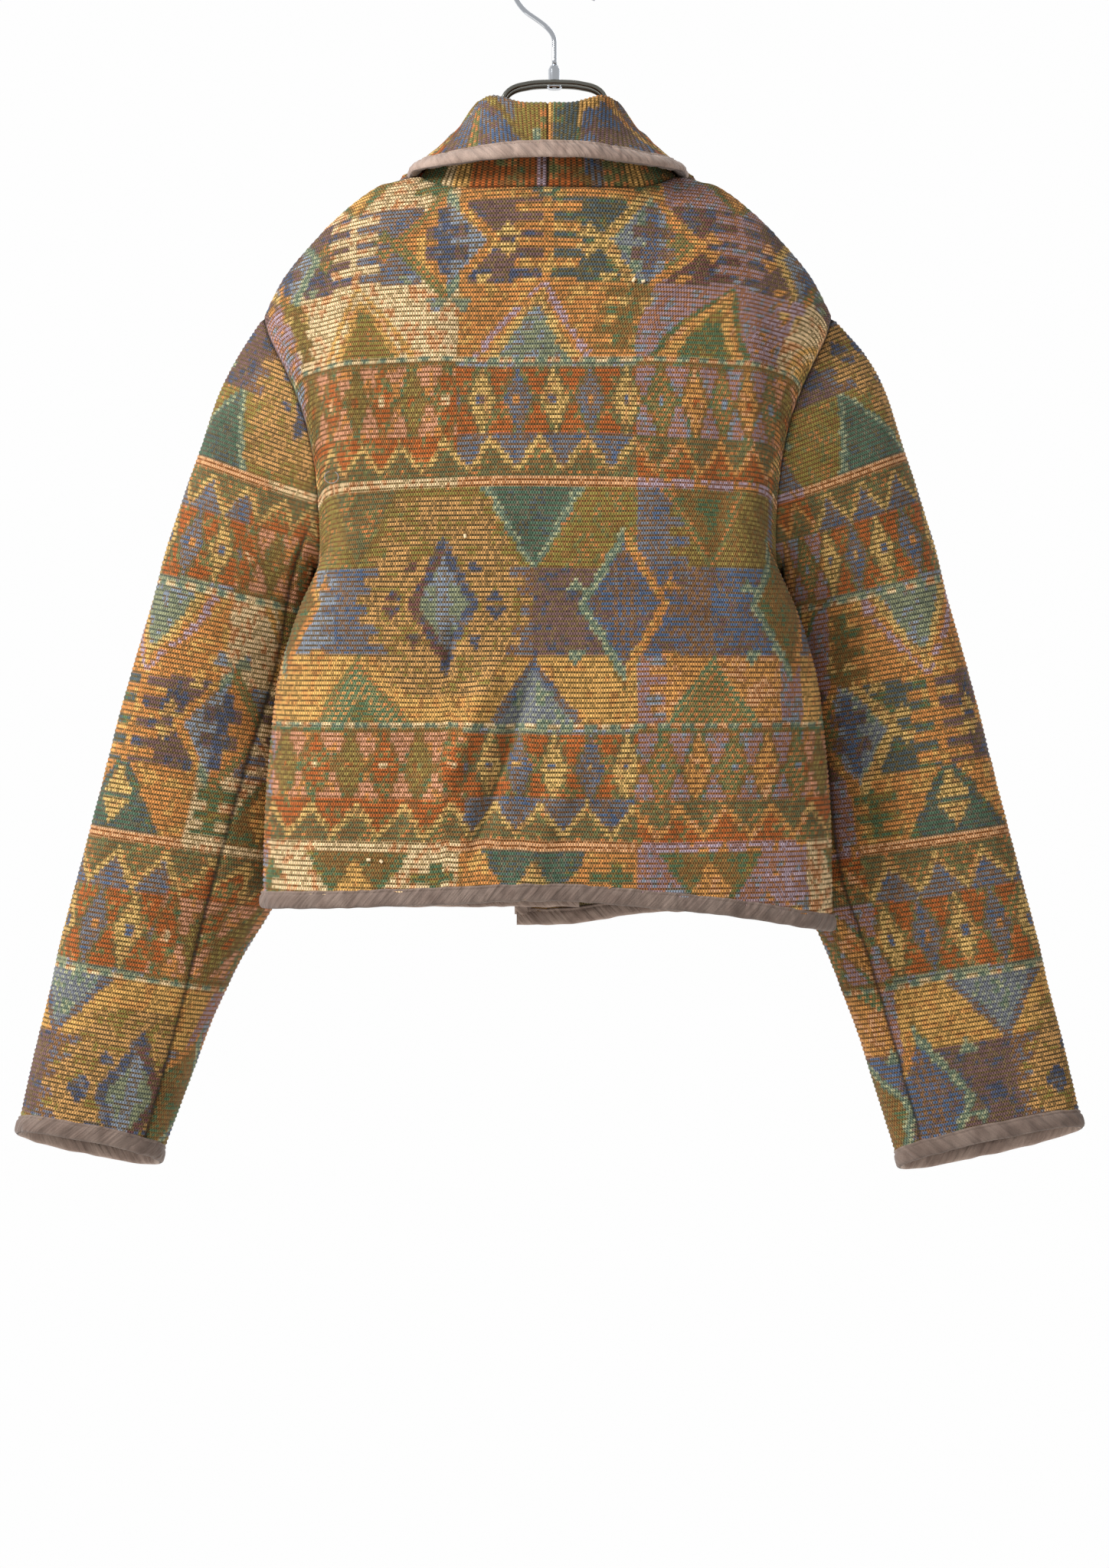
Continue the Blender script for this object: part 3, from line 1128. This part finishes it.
def make_collar(side):
    across = runs((0, 1, 64), (1, 2, 8))
    along = np.linspace(0, 1, 210)
    points = collar(side, across[None, :], along[:, None])
    normals = normals_of(points, -SIDES[side])
    lengths = arc(points, 0)
    level = np.tile(lengths.mean(1)[:, None], (1, len(across)))
    section = arc(points, 1)
    dip = seam_dip(np.minimum(section, lengths))
    seed = 71 if side == "left" else 81
    grid = (points, normals, level, section, SIDES[side] * level, dip, seed)
    return weave(f"collar_{side}_cloth", *grid, pattern=collar_chart, two_faced=True)


# Bindings: each strip is folded over an edge, from its own two lines on the cloth. Its section
# says how far down a place on one side is, and how far out of the cloth's middle.
STRIP_STEP = 1.5
STRIP_HALF_THICK = 3.2
STRIP_NOSE = 14.8
# Added to the way across on the inner side, so that the material can shade it
INSIDE_MARK = 40
STRIP_SECTION = [
    (-0.5, 1.0), (-0.3, 1.9), (0.6, 2.5), (1.5, 2.15), (2.0, 1.95), (2.6, 2.25), (4.0, 2.9),
    (6.5, 3.2), (9.5, 3.2), (12.0, 3.0), (13.6, 2.3), (14.5, 1.2),
]


def line_normals(points, below, closed=False):
    """Normals along an edge, from the line above it, evened out along their way."""
    ahead = np.roll(points, -1, 0) - np.roll(points, 1, 0)
    if not closed:
        ahead = np.gradient(points, axis=0)
    normals = unit(np.cross(ahead, below - points))
    for _ in range(6):
        padded = np.concatenate([normals[-1:], normals, normals[:1]])
        if not closed:
            padded[0], padded[-1] = normals[0], normals[-1]
        normals = unit(padded[:-2] + 2 * normals + padded[2:])
    return normals


def resample(line, edge, step, closed):
    """Both lines again at even steps of the edge's length."""
    along = np.concatenate([[0], np.cumsum(np.linalg.norm(np.diff(edge, axis=0), axis=1))])
    wanted = np.linspace(0, along[-1], max(8, round(along[-1] / step)))
    if closed:
        wanted = wanted[:-1]
    again = lambda source: np.stack([np.interp(wanted, along, source[:, k]) for k in range(3)], -1)
    return again(line), again(edge), wanted


def make_binding(name, line, edge, outward, closed=False, seed=5):
    line, edge, along = resample(line, edge, STRIP_STEP, closed)
    normals = line_normals(line, edge, closed) * outward
    down = unit(edge - line)
    width = np.linalg.norm(edge - line, axis=1)
    face = np.array(STRIP_SECTION)
    section = np.concatenate([face, [(STRIP_NOSE, 0)], face[::-1] * [1, -1]])
    faces_out = np.concatenate([np.ones(len(face)), [0], -np.ones(len(face))])
    t, s = np.meshgrid(along, np.arange(len(section)), indexing="ij")
    reach, height = section[:, 0][s], section[:, 1][s]

    def wave(step, breadth, number):
        """Unevenness along the strip, which runs into itself where the strip is closed."""
        here = noise(t / step, reach / breadth + t / 14, number)
        if not closed:
            return here
        before = t - along[-1]
        again = noise(before / step, reach / breadth + before / 14, number)
        return mix(here, again, smoothstep(along[-1] - 30, along[-1], t))

    full = np.clip(np.abs(height) / STRIP_HALF_THICK, 0, 1)
    pucker = 0.75 * wave(6.0, 9.0, seed) + 0.55 * wave(2.9, 30.0, seed + 1)
    height = height + np.sign(height) * full * pucker
    reach = np.where(reach > 1, 1 + (reach - 1) * ((width[:, None] - 1) / 12), reach)
    reach = reach + 0.6 * wave(13.0, 60.0, seed + 2)
    points = line[:, None] + down[:, None] * reach[..., None]
    points = points + normals[:, None] * height[..., None]
    index = np.arange(points[..., 0].size).reshape(points.shape[:2])
    if closed:
        index = np.concatenate([index, index[:1]])
    faces = faces_between(index)
    if not closed:
        faces += [index[0].tolist(), index[-1].tolist()]
    across = section[:, 0][s] + INSIDE_MARK * (faces_out[s] < 0)
    strip = xyz(t, across, 0 * t).reshape(-1, 3)
    points = points.reshape(-1, 3) + [GARMENT_X, 0, 0]
    piece = make_mesh(f"{name}_strip", points, faces, taupe, [("strip", "FLOAT_VECTOR", strip)])
    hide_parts(name)
    return piece, along[-1]


def hem_lines():
    parts = []
    for down in (1.0, 2.0):
        left = front("left", np.linspace(0, 1, 160)[:-1], down)
        behind = back(np.linspace(1, -1, 320), down)
        right = front("right", np.linspace(1, 0, 160)[1:], down)
        parts.append(np.concatenate([left, behind, right]))
    return parts


def front_lines(side):
    down = np.linspace(underarm_share(NECKLINE_HEM), 1.4, 160)
    half = side_edge(down, NECKLINE_HEM, -1)[0]
    inner = BINDING_WIDTH / (half - free_edge(down, NECKLINE_HEM))
    return front(side, inner, down), front(side, 0 * down, down)


def collar_lines():
    parts = []
    for across in (1.0, 2.0):
        right = collar("right", across, np.linspace(1, 0, 240)[:-1])
        parts.append(np.concatenate([right, collar("left", across, np.linspace(0, 1, 240))]))
    return parts


def cuff_lines(side):
    turn = np.linspace(0, 1, 260)
    return sleeve(side, turn, 1 + 0 * turn), sleeve(side, turn, 2 + 0 * turn)


# The hanger


def round_piece(name, points, material, closed=False):
    """A mesh of rings of points, one row to a ring, with flat ends where it is open."""
    index = np.arange(points[..., 0].size).reshape(points.shape[:2])
    index = np.concatenate([index, index[:, :1]], 1)
    if closed:
        index = np.concatenate([index, index[:1]])
    faces = faces_between(index)
    if not closed:
        faces += [index[0, :-1].tolist(), index[-1, :-1].tolist()]
    return make_mesh(name, points.reshape(-1, 3), faces, material)


def tube(name, centres, radius, sides, material, closed=False):
    """A round bar along a line of points."""
    centres = np.asarray(centres, float)
    if closed:
        along = unit(np.roll(centres, -1, 0) - np.roll(centres, 1, 0))
    else:
        along = unit(np.gradient(centres, axis=0))
    across = unit(np.cross(along, [0, 1, 0.02]))
    third = np.cross(along, across)
    angle = np.linspace(0, 2 * np.pi, sides, endpoint=False)
    ring = across[:, None] * np.cos(angle)[:, None] + third[:, None] * np.sin(angle)[:, None]
    return round_piece(name, centres[:, None] + ring * radius, material, closed)


def rod_line():
    """The middle of the hanger's one closed wire: a rod in front, a rod behind and round ends."""
    bend_x = np.linspace(ROD_ARCH_END, ROD_START_X, 7)[:-1]
    lying_x = np.arange(ROD_START_X, ROD_END_X + 1, 4.0)
    x = np.concatenate([np.arange(0, ROD_ARCH_END, 2.0), bend_x, lying_x])
    ends = []
    for sign in (1, -1):
        seat = top_drop(sign * ROD_START_X - GARMENT_X) + ROD_UNDER_CLOTH
        arch = look(ROD_ARCH, "x", "drop", np.minimum(x, ROD_ARCH_END))
        bend = mix(ROD_ARCH["drop"][-1], seat, smoothstep(ROD_ARCH_END, ROD_START_X, x))
        lying = top_drop(sign * np.maximum(x, ROD_START_X) - GARMENT_X) + ROD_UNDER_CLOTH
        drop = np.where(x <= ROD_ARCH_END, arch, np.where(x < ROD_START_X, bend, lying))
        ends.append(np.stack([sign * x, drop], -1))
    line = np.concatenate([ends[1][::-1][:-1], ends[0]])
    narrows = smoothstep(ROD_START_X, ROD_END_X, np.abs(line[:, 0]))
    gap = mix(ROD_HALF_GAP, ROD_END_HALF_GAP, narrows)
    sides = [xyz(line[:, 0], sign * gap, -line[:, 1]) for sign in (1, -1)]
    turns = []
    for sign, end in ((1, line[-1]), (-1, line[0])):
        angle = np.linspace(0, np.pi, 11)[1:-1]
        out = ROD_END_HALF_GAP * np.sin(angle) * ROD_END_ROUNDNESS
        y = sign * ROD_END_HALF_GAP * np.cos(angle)
        turns.append(xyz(end[0] + sign * out, y, -end[1] - out))
    return np.concatenate([sides[0], turns[0], sides[1][::-1], turns[1]])


def hook_line():
    angle = np.radians(np.linspace(*HOOK_ARC, 60))
    round_x, round_z = HOOK_RADIUS * np.cos(angle), HOOK_RADIUS * np.sin(angle)
    arc_points = xyz(round_x, 0 * angle, round_z + HOOK_MIDDLE)
    start = np.array([[0, 0, -93.7], [0, 0, -90], [0, 0, -84], [0, 0, -76]])
    bend = arc_points[0]
    tangent = unit(arc_points[0] - arc_points[1])
    share = np.linspace(0, 1, 14)[1:-1, None]
    pull = [start[-1], start[-1] + [0, 0, 8.0], bend + tangent * 8, bend]
    weights = [(1 - share) ** 3, 3 * share * (1 - share) ** 2, 3 * share**2 * (1 - share), share**3]
    curve = sum(weight * np.array(point) for weight, point in zip(weights, pull))
    return np.concatenate([start, curve, arc_points])


def turned(name, profile, material, sides=40):
    """A turned piece from its radii and drops."""
    angle = np.linspace(0, 2 * np.pi, sides, endpoint=False)
    profile = np.array(profile, float)
    x = profile[:, :1] * np.cos(angle)
    y = profile[:, :1] * np.sin(angle)
    return round_piece(name, xyz(x, y, -profile[:, 1:] + 0 * x), material)


# Flat sizes of the cut pieces in metres: width, length and area
pieces = {"back": make_back()}
for side in SIDES:
    pieces[f"front_{side}"] = make_front(side)
    pieces[f"sleeve_{side}"] = make_sleeve(side)
    pieces[f"collar_{side}"] = make_collar(side)
for name, piece in pieces.items():
    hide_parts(name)

strips = {
    "binding_hem": make_binding("binding_hem", *hem_lines(), 1, seed=5),
    "binding_collar": make_binding("binding_collar", *collar_lines(), 1, seed=15),
}
for side, sign in SIDES.items():
    name = f"binding_front_{side}"
    strips[name] = make_binding(name, *front_lines(side), sign, seed=25)
    name = f"binding_cuff_{side}"
    strips[name] = make_binding(name, *cuff_lines(side), sign, closed=True, seed=35)

FERRULE = [(3.0, 94), (3.4, 94.5), (4.6, 97), (4.6, 104.6)]
FERRULE += [(5.2, 105.6), (5.7, 107), (5.7, 110), (4.8, 111.6)]
for name, piece in (
    ("hanger_rods", tube("hanger_rods_wire", rod_line(), ROD_RADIUS, 20, dark_steel, closed=True)),
    ("hanger_hook", tube("hanger_hook_wire", hook_line(), HOOK_WIRE_RADIUS, 24, chrome)),
    ("hanger_ferrule", turned("hanger_ferrule_sleeve", FERRULE, chrome)),
):
    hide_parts(name)

# Small things on the back: slubs of cream yarn, a thread loop and a thread end


def on_back(x, drop, lift):
    """A place just off the outer face of the back."""
    mesh = pieces["back"].data
    places = np.empty(len(mesh.vertices) * 3, np.float32)
    mesh.vertices.foreach_get("co", places)
    places = places.reshape(-1, 3) / MM
    near = np.hypot(places[:, 0] - x, places[:, 2] + drop) < 3
    return np.array([x, places[near, 1].max() + lift, -drop])


def chart_place(px, py):
    return GARMENT_X + (CHART_MIDDLE - px) * CHART, (py + CHART_TOP) * CHART


# Each slub's place on the chart and its length
SLUBS = [(488, 1121, 3.0), (504, 1123, 2.6), (611, 710, 2.8), (826, 379, 3.4), (838, 381, 2.6)]
for k, (px, py, long) in enumerate(SLUBS):
    place = on_back(*chart_place(px, py), 0.2)
    tilt = 0.7 * k
    lies = np.array([math.cos(tilt), 0, math.sin(tilt)])
    reach = np.linspace(-0.5, 0.5, 7)[:, None] * long * lies
    tube(f"slub_{k + 1}", place + reach, 1.1, 10, knot)
angle = np.linspace(0.3, 2 * np.pi - 0.5, 40)[:, None]
loop = [5.0 * np.sin(angle), 0.8 * np.sin(angle * 2), 4.4 * np.cos(angle) - 3.0]
loop = on_back(*chart_place(440, 628), 3.5) + np.concatenate(loop, 1)
tube("thread_loop", loop, 0.3, 8, grey_thread)
out = np.linspace(0, 4, 12)
end = xyz(out, 0.4 * np.sin(np.linspace(0, 3, 12)), -0.25 * out**1.4)
end = on_back(*chart_place(800, 1154), 0.6) + end
tube("thread_end", end, 0.35, 8, orange_thread)

# Stage, light and camera
FLOOR_HALF = 1.9
FLOOR_Z = -1.62
GARMENT_MIDDLE = (0, 0, -0.5)
LENS = 85
SENSOR = 36
# The longer side of what the camera sees in the plane of the hook, and its middle, in metres
VIEW_HEIGHT = 1.167
VIEW_MIDDLE_Z = -0.6285

floor_mesh = bpy.data.meshes.new("floor")
turns = ((-1, -1), (1, -1), (1, 1), (-1, 1))
corners = [(x * FLOOR_HALF, y * FLOOR_HALF, FLOOR_Z) for x, y in turns]
floor_mesh.from_pydata(corners, [], [(0, 1, 2, 3)])
floor = bpy.data.objects.new("floor", floor_mesh)
floor_mesh.materials.append(plain_material("pale_floor", "e6e5e2", 0.9))
bpy.context.collection.objects.link(floor)
floor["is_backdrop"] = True

world = bpy.data.worlds.new("studio")
bpy.context.scene.world = world
world.use_nodes = True
sky = world.node_tree
direction = sky.nodes.new("ShaderNodeTexCoord")
split = sky.nodes.new("ShaderNodeSeparateXYZ")
sky.links.new(direction.outputs["Generated"], split.inputs[0])
falloff = sky.nodes.new("ShaderNodeMapRange")
sky.links.new(split.outputs["Y"], falloff.inputs["Value"])
# White behind the garment as the camera sees it, and greyer on the camera's own side
set_inputs(falloff, From_Min=-0.55, From_Max=0.15, To_Min=0.99, To_Max=0.6)
set_inputs(sky.nodes["Background"], Color=(1, 1, 1, 1))
sky.links.new(falloff.outputs[0], sky.nodes["Background"].inputs["Strength"])


def soft_light(name, place, target, size, power):
    lamp = bpy.data.lights.new(name, "AREA")
    lamp.size = size
    lamp.energy = power
    light = bpy.data.objects.new(name, lamp)
    light.location = place
    toward = np.array(target) - np.array(place)
    light.rotation_euler = Vector(toward).to_track_quat("-Z", "Y").to_euler()
    bpy.context.collection.objects.link(light)


soft_light("key", (2.3, 1.5, 0.9), GARMENT_MIDDLE, 1.0, 105)
soft_light("fill_front", (-1.6, -2.2, 0.7), GARMENT_MIDDLE, 1.6, 22)

camera_data = bpy.data.cameras.new("camera")
camera_data.lens = LENS
camera_data.sensor_width = SENSOR
camera = bpy.data.objects.new("camera", camera_data)
camera.location = (0, VIEW_HEIGHT * LENS / SENSOR, VIEW_MIDDLE_Z)
camera.rotation_euler = (math.radians(90), 0, math.radians(180))
bpy.context.collection.objects.link(camera)
bpy.context.scene.camera = camera
bpy.context.scene.view_settings.view_transform = "Standard"

boxes = {"cad": cad_box, "visual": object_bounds()}
{name: [list(corner) for corner in box] for name, box in boxes.items()}
